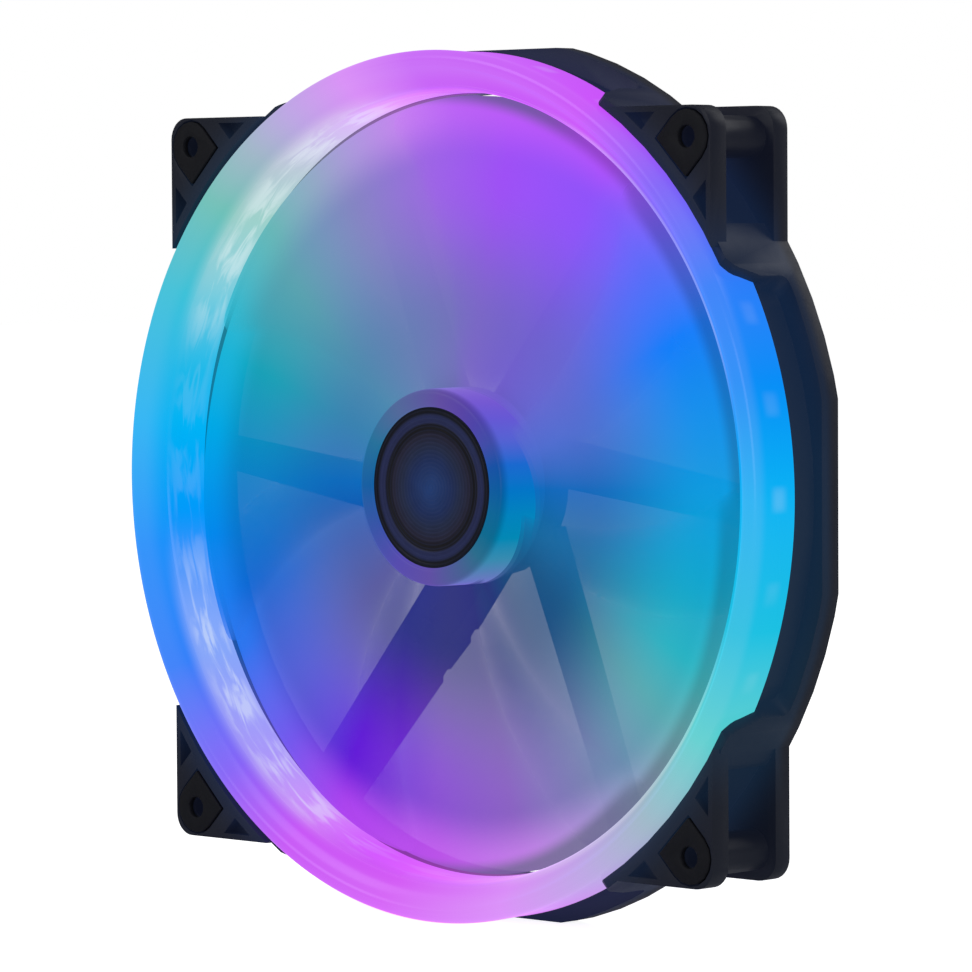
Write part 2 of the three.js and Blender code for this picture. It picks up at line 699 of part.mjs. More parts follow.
add("bearing_sleeve", bearingSleeve(), brass);
add("oil_seal", tube(SHAFT_RADIUS + 0.25, TUBE_BORE - PRESS_FIT, 6, 6.7), whitePlastic);
const thrustPad = disc(TUBE_BORE - PRESS_FIT, SHAFT_RANGE[1] + CLEARANCE, TUBE_FLOOR - CLEARANCE);
add("thrust_pad", thrustPad, whitePlastic);

// ---------------------------------------------------------------- stator

function statorCore() {
  const [front, rear] = CORE_RANGE;
  const centre = tube(TUBE_RADIUS + PRESS_FIT, CORE_RING, front, rear);
  const slots = POLE_ANGLES.map((angle) => block(
    angle + 45, [0, YOKE_RADIUS], [-POLE_GAP / 2, POLE_GAP / 2], [front - PAST, rear + PAST],
  ));
  const shoes = cut(tube(POLE_RADIUS - 1.8, POLE_RADIUS, front, rear), slots);
  const arms = POLE_ANGLES.map((angle) => block(
    angle, [CORE_RING - 1, POLE_RADIUS - 1], [-ARM_HALF, ARM_HALF], [front, rear],
  ));
  return join(centre, shoes, arms);
}

function insulator(front) {
  const rear = front + INSULATOR_THICKNESS;
  const half = ARM_HALF + 0.5;
  const arms = POLE_ANGLES.map((angle) => block(angle, [CORE_RING - 1, 13.6], [-half, half], [front, rear]));
  return join(tube(TUBE_RADIUS + PRESS_FIT, CORE_RING + 0.4, front, rear), arms);
}

// Windings: a rounded collar round one arm, drawn as seen along the arm.
function coil(angle) {
  const [front, rear] = COIL_RANGE;
  const flat = COIL_HALF - COIL_CORNER;
  const outer = new THREE.Shape();
  outer.moveTo(-flat, front);
  outer.quadraticCurveTo(-COIL_HALF, front, -COIL_HALF, front + COIL_CORNER);
  outer.lineTo(-COIL_HALF, rear - COIL_CORNER);
  outer.quadraticCurveTo(-COIL_HALF, rear, -flat, rear);
  outer.lineTo(flat, rear);
  outer.quadraticCurveTo(COIL_HALF, rear, COIL_HALF, rear - COIL_CORNER);
  outer.lineTo(COIL_HALF, front + COIL_CORNER);
  outer.quadraticCurveTo(COIL_HALF, front, flat, front);
  const gap = ARM_HALF + 0.8;
  const [low, high] = COIL_WINDOW;
  outer.holes.push(polygon([[-gap, low], [gap, low], [gap, high], [-gap, high]]));
  const depth = COIL_ALONG[1] - COIL_ALONG[0];
  const geometry = new THREE.ExtrudeGeometry(outer, { depth, bevelEnabled: false, curveSegments: 4 });
  geometry.translate(0, 0, COIL_ALONG[0]);
  geometry.rotateY(-radians(angle - 90));
  return solid(geometry);
}

add("stator_core", statorCore(), steel);
add("front_insulator", insulator(CORE_RANGE[0] - 0.25 - INSULATOR_THICKNESS), whitePlastic);
add("rear_insulator", insulator(CORE_RANGE[1] + 0.25), whitePlastic);
POLE_ANGLES.forEach((angle, index) => add(`coil_${index + 1}`, coil(angle), copper));

// ---------------------------------------------------------------- motor board

add("motor_board", tube(TUBE_RADIUS + 0.4, 18.2, ...MOTOR_BOARD), boardGreen);
add("hall_sensor", block(45, [15.4, 17.2], [-2, 2], [15.9, MOTOR_BOARD[0] - 0.1]), chipBlack);
add("driver_chip", block(60, [8, 13], [-2.5, 2.5], [MOTOR_BOARD[1] + 0.1, 21]), chipBlack);
add("rear_label", disc(LABEL_RECESS_RADIUS - 0.3, DEPTH - 0.35, DEPTH - 0.1), badgeFilm);

// ---------------------------------------------------------------- placing the fan

const ringFront = CREST_DEPTH - CREST_ROUND;
fan.position.set(0, -(ringFront + DEPTH) / 2, FLAT_HALF);
const caseFan = new THREE.Group();
caseFan.name = "case_fan";
caseFan.add(fan);

export default caseFan;
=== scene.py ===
"""Looks of a 200 mm case fan with a light-up diffuser ring, in Blender 4.5.

Shapes are drawn in millimetres in the fan's own frame: the shaft lies on the Y axis, the intake
faces -Y, and Y = 0 is the front face of the mounting pads. Angles round the shaft are degrees
from +X towards +Z, as seen from the intake side.
"""
import math

import bmesh
import bpy
from mathutils import Matrix, Vector


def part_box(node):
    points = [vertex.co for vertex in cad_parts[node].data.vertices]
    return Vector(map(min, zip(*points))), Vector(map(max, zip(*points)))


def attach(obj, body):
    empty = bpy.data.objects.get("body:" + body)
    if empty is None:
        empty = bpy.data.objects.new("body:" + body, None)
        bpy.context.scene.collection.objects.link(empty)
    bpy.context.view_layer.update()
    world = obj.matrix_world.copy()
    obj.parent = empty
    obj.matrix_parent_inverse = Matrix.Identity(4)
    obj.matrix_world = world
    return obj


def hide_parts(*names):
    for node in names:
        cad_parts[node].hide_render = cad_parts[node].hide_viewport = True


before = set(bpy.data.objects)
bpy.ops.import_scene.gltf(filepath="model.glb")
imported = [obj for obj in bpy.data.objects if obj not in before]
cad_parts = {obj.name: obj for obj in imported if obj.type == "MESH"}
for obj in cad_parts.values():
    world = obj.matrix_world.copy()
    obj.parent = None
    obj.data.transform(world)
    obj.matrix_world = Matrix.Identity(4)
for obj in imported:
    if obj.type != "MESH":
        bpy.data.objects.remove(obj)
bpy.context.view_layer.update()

MM = 0.001
SHAFT_LOW, SHAFT_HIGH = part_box("shaft")
PAD_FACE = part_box("front_pad_top_right")[0].y
ORIGIN = Vector((
    (SHAFT_LOW.x + SHAFT_HIGH.x) / 2,
    PAD_FACE,
    (SHAFT_LOW.z + SHAFT_HIGH.z) / 2,
))

# ---------------------------------------------------------------- dimensions, in millimetres

RING_RADIUS = 97.4
RING_REAR = 11.7
RING_INNER_REAR = 14.2
CREST_RADIUS = 95.2
CREST_DEPTH = 0.3
CREST_ROUND = 2.2
CREST_ARC = 135.0           # degrees that the crest turns through
CREST_STEPS = 12
CREST_HOLLOW = 0.9          # how far the hollow inside the crest reaches to either side
HOLLOW_DROP = 0.4
MOUTH_LIP = [(89.5, 2.75), (88.9, 3.85), (88.5, 5.4)]
THROAT_INSIDE = (90.0, 5.6)
DUCT_RADIUS = 88.0
RING_WALL = 1.6
SKIRT_WALL = 1.5
RING_ROUND = 0.45
RING_STEPS = 288

LED_COUNT = 30
LED_DEPTH = 6.6

BLADE_COUNT = 7
BLADE_ROOT = 21.7
BLADE_TIP = 87.6
BLADE_FRONT_ROOT = 7.0
BLADE_FRONT_TIP = 10.5
BLADE_REAR_ROOT = 14.2
BLADE_REAR_TIP = 17.0
BLADE_THICKNESS = 1.5
BLADE_ROOT_SPREAD = 74.0
BLADE_TIP_SPREAD = 71.0
BLADE_SWEEP = 20.0
SWEEP_GROWTH = 1.4          # power of the way out that the sweep grows with
REAR_EASE = 1.6             # the rear edge reaches its tip depth at 1 / 1.6 of the way out
BLADE_CAMBER = 0.9
EDGE_THINNING = 0.45        # share of the thickness that is gone at both edges
TIP_TRIM = 2.0
TRIM_POWER = 3
TIP_SEAL = 83.0
FADE_POWER = 1.7            # how softly a blade's edges turn clear
LEADING_ROUND = 6.0
TRAILING_ROUND = 4.0
BLADE_ALONG = 48
BLADE_ACROSS = 40

HUB_RADIUS = 22.2
HUB_REAR = 14.6
HUB_BORE = 20.4
HUB_FACE = 2.7
HUB_ROUND = 1.1
HUB_SHOULDER = [(21.6, 0.0), (22.1, 1.4)]
BADGE_SEAT = [(18.3, 1.0), (18.3, 0.2), (19.2, 0.0)]
BADGE_TERRACES = [13.2, 13.5, 14.2, 14.5, 16.9, 17.2]
BADGE_RADIUS = 18.0
BADGE_FRONT = 0.6
BADGE_REAR = 0.95
BADGE_STEP = 0.08
BADGE_ROUND = 0.1
BADGE_LINE_PITCH = 0.9
HOUSING_ROUND = 0.35
PAD_ROUND = 0.3
HUB_STEPS = 144

# ---------------------------------------------------------------- camera and light

CAMERA_AZIMUTH = 43.83
CAMERA_ELEVATION = 2.73
CAMERA_DISTANCE = 1.1823
CAMERA_ROLL = -0.334
CAMERA_LENS = 198.34
CAMERA_SENSOR = 36.0
CAMERA_NEAR = 0.05
AIM_OFFSET = Vector((0.01764, 0.0, 0.00089))
AMBIENT = 0.15
FLOOR_HALF = 6.0
FLOOR_GLOW = 0.9

# Each lamp's place, its size in metres and its power in watts.
LAMPS = {
    "key": ((-0.9, -1.6, 1.3), (1.2, 0.9), 14.0),
    "fill": ((1.7, -0.6, 0.6), (0.7, 1.1), 9.0),
    "back": ((0.4, 1.6, 1.2), (1.2, 1.2), 8.0),
}

# ---------------------------------------------------------------- colours


def srgb(code):
    """A display colour such as "#0ab9f5" as linear red, green, blue and alpha."""
    channels = [int(code[i:i + 2], 16) / 255 for i in (1, 3, 5)]
    linear = [c / 12.92 if c <= 0.04045 else ((c + 0.055) / 1.055) ** 2.4 for c in channels]
    return (*linear, 1.0)


CYAN = "#00b6f8"
SKY = "#0091fe"
AZURE = "#2a80fe"
VIOLET = "#8460fc"
MAGENTA = "#cc50fc"
ORCHID = "#cb66fb"
ROSE = "#d85efa"
PINK = "#dd8efc"
LAVENDER = "#bfa6e8"
MIST = "#a0b8ca"
MINT = "#6cc2b8"
SEAFOAM = "#5cd4d4"
AQUA = "#30c4dc"
TEAL = "#10c4e6"

# The colour that the lights give at each angle round the ring.
RING_LIGHTS = [
    (0, CYAN), (15, SKY), (28, AZURE), (44, VIOLET), (60, MAGENTA), (92, ORCHID), (105, PINK),
    (117, LAVENDER), (126, MIST), (137, MINT), (152, AQUA), (172, CYAN), (190, SKY), (208, AZURE),
    (226, VIOLET), (242, MAGENTA), (262, ROSE), (284, PINK), (300, LAVENDER), (313, MIST),
    (328, SEAFOAM), (343, TEAL),
]
# The colour that the same light has on the outer part of the blades, and near the hub.
BLADE_LIGHTS = [
    (0, "#009bde"), (20, "#0087ed"), (28, "#047cf8"), (40, "#546df7"), (60, "#8f51fa"),
    (80, "#9d4df4"), (100, "#9b64e1"), (120, "#8383c2"), (140, "#58a1ae"), (160, "#009eb4"),
    (180, "#007fc4"), (200, "#0064ce"), (220, "#4951d0"), (240, "#6110d8"), (260, "#823dcf"),
    (280, "#8153bd"), (300, "#767fb0"), (320, "#4ca6ae"), (331, "#04b0c0"), (340, "#00a9c8"),
]
INNER_LIGHTS = [
    (0, "#1069bb"), (20, "#4f6ccd"), (40, "#6566cf"), (60, "#6f5ecb"), (80, "#7866c4"),
    (100, "#7073b9"), (120, "#637fb3"), (140, "#4b88ae"), (160, "#247cad"), (180, "#0268ba"),
    (200, "#0f48a6"), (220, "#262a90"), (240, "#32388a"), (260, "#323681"), (280, "#2c3080"),
    (300, "#19497e"), (320, "#145688"), (340, "#166aa2"),
]
# The colour of the light on the side of the hub.
HUB_LIGHTS = [
    (0, "#0174c4"), (15, "#1867cc"), (30, "#5460cf"), (45, "#6456d0"), (60, "#7256cc"),
    (80, "#7d62c8"), (120, "#6a86c0"), (150, "#3090c0"), (180, "#1478c8"), (210, "#4a6ad0"),
    (240, "#7060d8"), (270, "#7c64cc"), (300, "#5a7cb6"), (315, "#368aae"), (330, "#0087b2"),
    (345, "#0082bb"),
]
WHITE = "#ffffff"
SPILL_TINT = "#3c98f8"
# Painted glow: a faint light on the black housing wherever none of the ring's light is painted.
FAINT_PAINTED_GLOW = "#0a0b14"
SPOT_TINT = "#d8f6ff"
# Near-white colour of the painted highlights on the ring's inner wall.
WISP_HIGHLIGHT_TINT = "#f2fdff"
HUB_RIM_TINT = "#c4c8cc"
LIP_SHADE_TINT = "#04101a"
# Greyer colour of the painted lip shade on the blades at the top and bottom.
GREY_LIP_SHADE_TINT = "#46586e"
RING_BODY_TINT = "#16181e"
FROSTED_BODY_TINT = "#1c1e26"
BADGE_LINE_TINT = "#4a5688"
BADGE_WORN_TINT = "#0c0d12"
FLOOR_TINT = "#f4f4f4"

# ---------------------------------------------------------------- where the light falls

# Light from the ring on the housing: it fades over these radii and depths.
SPILL_RADIUS = (96.0, 112.0)
SPILL_DEPTH = (21.0, 25.4)
SPILL_STRENGTH = (0.004, 0.04)
SPILL_TINT_SHARE = 0.8
DUCT_SPILL_DEPTH = (15.0, 24.5)
DUCT_SPILL_STRENGTH = 0.32

# The diffuser ring: its inner wall is palest at BLEND_ANGLE and every quarter turn from there,
# where its colours blend, and it carries painted highlights, wisps drawn out along it.
INNER_WALL = (88.6, 91.5)
OUTER_WALL = (96.6, 97.2)
CREST_FADE = (-1.0, 3.0)
BLEND_ANGLE = 130
QUARTER_BLEND = (-0.8, 0.6)
INNER_PALENESS = 0.24
CREST_PALENESS = 0.035
SPOT_PALENESS = 0.1
WISP_HIGHLIGHT_SHARE = 0.38
WISP_LEAST = 0.12
WISP_DEPTH = 8.6
WISP_LIFT = 0.09
WISP_EDGE = (0.42, 0.66)
WISPS_ROUND = 16.0
WISPS_DEEP = 0.16

# The hub: depths over which its front rim's duller tone gives way to the side's, and how much
# the badge's turned lines and its wear change its colour.
HUB_RIM_DEPTH = (0.2, 3.2)
BADGE_LINE_SHARE = 0.16
BADGE_WORN_SHARE = 0.3

# The blades: radii over which the inner colours turn into the outer ones, and these into the
# ring's own. Outside LIP_SHADE they are duller with a painted shade of the ring's lip, from
# further in at +X than at the top, and greyer and stronger at the top and bottom.
BLADE_BLEND = (36.0, 71.0)
RING_REACH = (73.0, 85.5)
RING_SHARE = 0.6
LIP_SHADE = (84.4, 88.2)
LIP_OFFSET = 9.5
# Where the painted lip shade on the blades is greyer and stronger: towards the top and the bottom.
TOP_GREY_SHADE = (0.9, 0.99)
BOTTOM_GREY_SHADE = (-0.6, -0.97)
SHADE_STRENGTH = (0.38, 0.72)

# The share of light that passes through a blade, least at LEAST_CLEAR_ANGLE and most opposite it.
LEAST_CLEAR_ANGLE = 80
PASSING = (0.005, 0.085)
PASSING_FADE = (45.0, 76.0)
PASSING_AT_TIP = 0.3
THIN_ROOT = (22.0, 32.0)
ROOT_THICKNESS = 0.4

# ---------------------------------------------------------------- node helpers


class Look:
    """A node material, with short ways to add the nodes that the materials here share."""

    def __init__(self, name, roughness, metallic=0.0):
        self.material = bpy.data.materials.new(name)
        self.material.use_nodes = True
        self.tree = self.material.node_tree
        self.shader = self.tree.nodes["Principled BSDF"]
        self.output = self.tree.nodes["Material Output"]
        self.shader.inputs["Roughness"].default_value = roughness
        self.shader.inputs["Metallic"].default_value = metallic

    def node(self, kind, **settings):
        made = self.tree.nodes.new(kind)
        for key, value in settings.items():
            setattr(made, key, value)
        return made

    def feed(self, value, socket):
        """Sets a socket to a number or colour, or links another node's output to it."""
        if isinstance(value, bpy.types.NodeSocket):
            self.tree.links.new(value, socket)
        else:
            socket.default_value = value

    def math(self, operation, first, second=0.0):
        made = self.node("ShaderNodeMath", operation=operation)
        self.feed(first, made.inputs[0])
        self.feed(second, made.inputs[1])
        return made.outputs[0]

    def times(self, first, *others):
        """The product of two or more numbers."""
        for other in others:
            first = self.math("MULTIPLY", first, other)
        return first

    def smooth(self, value, low, high):
        """0 below low, 1 above high, and a smooth step between them."""
        made = self.node("ShaderNodeMapRange", interpolation_type="SMOOTHSTEP")
        self.feed(value, made.inputs["Value"])
        made.inputs["From Min"].default_value = low
        made.inputs["From Max"].default_value = high
        return made.outputs["Result"]

    def fade(self, value, low, high):
        """1 below low, 0 above high, and a smooth step between them."""
        return self.math("SUBTRACT", 1.0, self.smooth(value, low, high))

    def band(self, value, middle, half, soft):
        """1 where value is within half of middle, fading to 0 over soft."""
        away = self.math("ABSOLUTE", self.math("SUBTRACT", value, middle))
        return self.fade(away, half, half + soft)

    def fan_position(self):
        """Position in the fan's own frame, in millimetres, as three sockets."""
        place = self.node("ShaderNodeNewGeometry").outputs["Position"]
        moved = self.node("ShaderNodeVectorMath", operation="SUBTRACT")
        self.feed(place, moved.inputs[0])
        moved.inputs[1].default_value = ORIGIN
        scaled = self.node("ShaderNodeVectorMath", operation="SCALE")
        self.feed(moved.outputs[0], scaled.inputs[0])
        scaled.inputs["Scale"].default_value = 1 / MM
        split = self.node("ShaderNodeSeparateXYZ")
        self.feed(scaled.outputs[0], split.inputs[0])
        return split.outputs

    def polar(self):
        """Distance from the shaft, turn round it from 0 to 1, and depth from the pad face."""
        x, depth, z = self.fan_position()
        squares = self.math("ADD", self.times(x, x), self.times(z, z))
        radius = self.math("SQRT", squares)
        turn = self.math("DIVIDE", self.math("ARCTAN2", z, x), 2 * math.pi)
        return radius, self.math("FRACT", turn), depth

    def angle(self, turn):
        """A turn from 0 to 1 as an angle in radians."""
        return self.times(turn, 2 * math.pi)

    def ramp(self, factor, stops):
        """A colour that runs through a list of (position, colour) stops."""
        made = self.node("ShaderNodeValToRGB")
        elements = made.color_ramp.elements
        while len(elements) < len(stops):
            elements.new(0.5)
        for element, (position, colour) in zip(elements, stops):
            element.position = position
            element.color = srgb(colour)
        self.feed(factor, made.inputs[0])
        return made.outputs["Color"]

    def mix(self, factor, first, second, blend="MIX"):
        """Two colours blended, each a code such as "#0ab9f5" or another node's output."""
        made = self.node("ShaderNodeMix", data_type="RGBA", blend_type=blend)
        self.feed(factor, made.inputs["Factor"])
        for name, value in (("A", first), ("B", second)):
            socket = next(s for s in made.inputs if s.name == name and s.type == "RGBA")
            self.feed(srgb(value) if isinstance(value, str) else value, socket)
        return next(s for s in made.outputs if s.type == "RGBA")

    def noise(self, scale, detail=3.0, place=None, distortion=0.0):
        """Noise from 0 to 1, at the point in the mesh unless another place is given."""
        made = self.node("ShaderNodeTexNoise")
        made.inputs["Scale"].default_value = scale
        made.inputs["Detail"].default_value = detail
        made.inputs["Distortion"].default_value = distortion
        if place is None:
            place = self.node("ShaderNodeTexCoord").outputs["Object"]
        self.feed(place, made.inputs["Vector"])
        return made.outputs["Fac"]

    def bump(self, height, distance, strength=1.0):
        """Makes the surface look raised by distance, in metres, where height is 1."""
        made = self.node("ShaderNodeBump")
        made.inputs["Strength"].default_value = strength
        made.inputs["Distance"].default_value = distance
        self.feed(height, made.inputs["Height"])
        self.feed(made.outputs["Normal"], self.shader.inputs["Normal"])

    def colour(self, value):
        self.feed(value, self.shader.inputs["Base Color"])

    def rough(self, value):
        self.feed(value, self.shader.inputs["Roughness"])

    def mirror(self, level):
        self.shader.inputs["Specular IOR Level"].default_value = level

    def glow(self, colour, strength):
        self.feed(colour, self.shader.inputs["Emission Color"])
        self.feed(strength, self.shader.inputs["Emission Strength"])

    def between(self, factor, low, high):
        """A number that runs from low to high as factor runs from 0 to 1."""
        return self.math("ADD", self.times(factor, high - low), low)


def light_colour(look, turn, lights):
    """The colour of a list of lights at a turn from 0 to 1 round the shaft."""
    stops = [(angle / 360, colour) for angle, colour in lights]
    return look.ramp(turn, [*stops, (1.0, lights[0][1])])


# ---------------------------------------------------------------- materials


def moulded(name, dark, light, roughness, grain=2600.0, depth=0.00003, mirror=0.2):
    """Moulded plastic or rubber: a fine spark-eroded grain and a slight change of tone."""
    look = Look(name, roughness)
    tone = look.between(look.noise(scale=45.0, detail=4.0), 0.1, 0.9)
    look.colour(look.mix(tone, dark, light))
    handled = look.noise(scale=270.0, detail=3.0)
    look.rough(look.between(handled, roughness - 0.06, roughness + 0.08))
    look.mirror(mirror)
    look.bump(look.noise(scale=grain, detail=2.0), distance=depth, strength=0.6)
    return look


def housing_material():
    """Black moulded plastic that catches some of the ring's light, most of all inside the duct, all
    as painted light, with a faint painted glow where none of it falls.
    """
    look = moulded("black_plastic", "#08090d", "#101218", 0.5, mirror=0.22)
    radius, turn, depth = look.polar()
    near = look.times(look.fade(radius, *SPILL_RADIUS), look.fade(depth, *SPILL_DEPTH))
    duct_wall = look.band(radius, DUCT_RADIUS + 1.0, half=1.6, soft=2.0)
    in_duct = look.times(duct_wall, look.fade(depth, *DUCT_SPILL_DEPTH))
    outside = look.between(look.times(near, near), *SPILL_STRENGTH)
    caught = look.math("ADD", outside, look.times(in_duct, DUCT_SPILL_STRENGTH))
    light = light_colour(look, turn, RING_LIGHTS)
    tinted = look.mix(SPILL_TINT_SHARE, light, SPILL_TINT)
    look.glow(look.mix(caught, FAINT_PAINTED_GLOW, look.mix(in_duct, tinted, light)), 1.0)
    return look.material


def painted_highlight_wisps(look, turn, depth, lamps):
    """Painted highlights on the ring's inner wall: wisps drawn out along it and stronger over each
    lamp.
    """
    place = look.node("ShaderNodeCombineXYZ")
    look.feed(look.times(turn, WISPS_ROUND), place.inputs["X"])
    look.feed(look.times(depth, WISPS_DEEP), place.inputs["Y"])
    noise = look.noise(scale=2.4, detail=4.0, place=place.outputs[0], distortion=1.1)
    lifted = look.math("ADD", look.times(lamps, WISP_LIFT), noise)
    level = look.band(depth, WISP_DEPTH, half=2.4, soft=4.0)
    return look.times(look.smooth(lifted, *WISP_EDGE), level)


def lamp_spots(look, depth, lamps):
    """Faint spots where the lamps shine through, some weaker than others."""
    uneven = look.smooth(look.noise(scale=30.0, detail=2.0), 0.3, 0.7)
    level = look.band(depth, LED_DEPTH, half=0.4, soft=3.0)
    return look.times(look.smooth(lamps, 0.5, 1.0), level, uneven)


def diffuser_material():
    """Frosted acrylic lit from behind by the ring of lights."""
    look = Look("diffuser_plastic", roughness=0.22)
    radius, turn, depth = look.polar()
    lamps = look.math("COSINE", look.times(look.angle(turn), LED_COUNT))
    inner = look.fade(radius, *INNER_WALL)
    outer = look.smooth(radius, *OUTER_WALL)
    crest = look.fade(depth, *CREST_FADE)
    from_blend = look.math("SUBTRACT", turn, BLEND_ANGLE / 360)
    quarters = look.math("COSINE", look.times(look.angle(from_blend), 4))
    blend = look.smooth(quarters, *QUARTER_BLEND)
    spots = look.times(lamp_spots(look, depth, lamps), outer)
    stronger = look.between(blend, WISP_LEAST, 1.0)
    highlight_wisps = look.times(painted_highlight_wisps(look, turn, depth, lamps), inner, stronger)
    light = light_colour(look, turn, RING_LIGHTS)
    light = look.mix(look.times(inner, look.between(blend, 0.0, INNER_PALENESS)), light, WHITE)
    light = look.mix(look.times(spots, SPOT_PALENESS), light, SPOT_TINT)
    # Painted highlights: near-white wisps on the ring's inner wall.
    light = look.mix(look.times(highlight_wisps, WISP_HIGHLIGHT_SHARE), light, WISP_HIGHLIGHT_TINT)
    light = look.mix(look.times(crest, CREST_PALENESS), light, WHITE)
    look.colour(look.mix(1.0, light, RING_BODY_TINT, "MULTIPLY"))
    look.glow(light, look.between(look.noise(scale=14.0, detail=2.0), 0.9, 1.0))
    look.mirror(0.16)
    look.bump(look.noise(scale=420.0, detail=2.0), distance=0.00003, strength=0.3)
    return look.material


def frosted(name, glow_of):
    """Frosted plastic with painted light: it glows with the colour that glow_of makes from radius,
    turn and depth, which stands for the ring's light on it.
    """
    look = Look(name, roughness=0.4)
    light = glow_of(look, *look.polar())
    look.colour(look.mix(1.0, light, FROSTED_BODY_TINT, "MULTIPLY"))
    look.mirror(0.12)
    look.glow(light, look.between(look.noise(scale=22.0, detail=3.0), 0.94, 1.05))
    look.bump(look.noise(scale=900.0, detail=2.0), distance=0.00003, strength=0.4)
    return look


def hub_glow(look, radius, turn, depth):
    """The light on the hub's side, and a duller tone of it on the front rim."""
    side = light_colour(look, turn, HUB_LIGHTS)
    rim = look.mix(1.0, side, HUB_RIM_TINT, "MULTIPLY")
    return look.mix(look.smooth(depth, *HUB_RIM_DEPTH), rim, side)


def blade_glow(look, radius, turn, depth):
    """The light on the blades: brighter towards the ring, but shaded at the rim by its lip."""
    inner = light_colour(look, turn, INNER_LIGHTS)
    outer = light_colour(look, turn, BLADE_LIGHTS)
    light = look.mix(look.smooth(radius, *BLADE_BLEND), inner, outer)
    near_ring = look.times(look.smooth(radius, *RING_REACH), RING_SHARE)
    light = look.mix(near_ring, light, light_colour(look, turn, RING_LIGHTS))
    angle = look.angle(turn)
    height = look.math("SINE", angle)
    top = look.smooth(height, *TOP_GREY_SHADE)
    upright = look.math("ADD", top, look.smooth(height, *BOTTOM_GREY_SHADE))
    reach = look.math("ADD", radius, look.times(look.math("COSINE", angle), LIP_OFFSET))
    shade = look.times(look.smooth(reach, *LIP_SHADE), look.between(upright, *SHADE_STRENGTH))
    # Painted shade of the ring's lip: dark at +X, greyer at the top and bottom.
    return look.mix(shade, light, look.mix(upright, LIP_SHADE_TINT, GREY_LIP_SHADE_TINT))


def blade_material():
    """Frosted blade plastic, thin enough to let some light by, and clear towards a blade's edges.

    Light crosses a front and a rear skin, so each takes half of the thickness."""
    look = frosted("frosted_blades", blade_glow)
    radius, turn, depth = look.polar()
    from_least = look.math("SUBTRACT", look.angle(turn), math.radians(LEAST_CLEAR_ANGLE))
    clearer = look.between(look.math("COSINE", from_least), 0.5, 0.0)
    root = look.times(look.fade(radius, *THIN_ROOT), look.math("SUBTRACT", 1.0, clearer))
    body = look.node("ShaderNodeAttribute", attribute_name="body").outputs["Fac"]
    thickness = look.times(body, look.between(root, 1.0, ROOT_THICKNESS))
    outward = look.between(look.smooth(radius, *PASSING_FADE), 1.0, PASSING_AT_TIP)
    passing = look.times(look.between(look.times(clearer, clearer), *PASSING), outward)
    each_skin = look.math("POWER", passing, look.times(thickness, 0.5))
    clear = look.node("ShaderNodeBsdfTransparent")
    blend = look.node("ShaderNodeMixShader")
    look.feed(each_skin, blend.inputs[0])
    look.feed(look.shader.outputs[0], blend.inputs[1])
    look.feed(clear.outputs[0], blend.inputs[2])
    look.feed(blend.outputs[0], look.output.inputs["Surface"])
    return look.material


BADGE_BANDS = [
    (0.0, "#2a5299"), (0.17, "#274685"), (0.34, "#233a72"), (0.5, "#2a3658"), (0.66, "#2c2a40"),
    (0.72, "#14131c"), (0.78, "#17171f"), (0.81, "#2c3360"), (0.89, "#2f3767"), (0.92, "#14182c"),
    (0.97, "#07080e"), (1.0, "#101a33"),
]


def badge_material():
    """Dark printed film with concentric bands and fine turned lines."""
    look = Look("badge_film", roughness=0.3)
    radius, turn, depth = look.polar()
    bands = look.ramp(look.math("DIVIDE", radius, BADGE_RADIUS), BADGE_BANDS)
    wave = look.math("SINE", look.times(radius, 2 * math.pi / BADGE_LINE_PITCH))
    lines = look.between(wave, -0.5, 0.0)
    line_share = look.times(look.smooth(lines, -0.6, 0.2), BADGE_LINE_SHARE)
    lined = look.mix(line_share, bands, BADGE_LINE_TINT)
    worn = look.times(look.noise(scale=260.0, detail=4.0), BADGE_WORN_SHARE)
    look.colour(look.mix(worn, lined, BADGE_WORN_TINT))
    look.rough(look.between(look.noise(scale=140.0, detail=3.0), 0.3, 0.46))
    look.mirror(0.16)
    look.bump(lines, distance=0.00005, strength=0.5)
    return look.material


def brushed_metal(name, dark, light, roughness, stretch):
    """Turned or drawn metal: fine streaks along one direction."""
    look = Look(name, roughness, metallic=1.0)
    mapping = look.node("ShaderNodeMapping")
    mapping.inputs["Scale"].default_value = stretch
    look.feed(look.node("ShaderNodeTexCoord").outputs["Object"], mapping.inputs["Vector"])
    streaks = look.noise(scale=900.0, detail=4.0, place=mapping.outputs["Vector"])
    look.colour(look.mix(streaks, dark, light))
    look.rough(look.between(streaks, roughness - 0.08, roughness + 0.12))
    look.bump(streaks, distance=0.00002, strength=0.5)
    return look


def winding_material():
    """Enamelled copper wire, one turn beside the next."""
    look = Look("copper_winding", roughness=0.32, metallic=1.0)
    wave = look.node("ShaderNodeTexWave", bands_direction="DIAGONAL")
    wave.inputs["Scale"].default_value = 900.0
    wave.inputs["Distortion"].default_value = 0.6
    look.feed(look.node("ShaderNodeTexCoord").outputs["Object"], wave.inputs["Vector"])
    look.colour(look.mix(wave.outputs["Fac"], "#6d3518", "#d58a52"))
    look.bump(wave.outputs["Fac"], distance=0.0001, strength=0.8)
    return look.material


def circuit_board(name, ground, trace):
    """Circuit board: solder mask over traces and pads."""
    look = Look(name, roughness=0.38)
    cells = look.node("ShaderNodeTexVoronoi", feature="DISTANCE_TO_EDGE")
    cells.inputs["Scale"].default_value = 420.0
    look.feed(look.node("ShaderNodeTexCoord").outputs["Object"], cells.inputs["Vector"])
    lines = look.fade(cells.outputs["Distance"], 0.03, 0.09)
    look.colour(look.mix(look.times(lines, 0.6), ground, trace))
    look.bump(lines, distance=0.00004, strength=0.5)
    return look


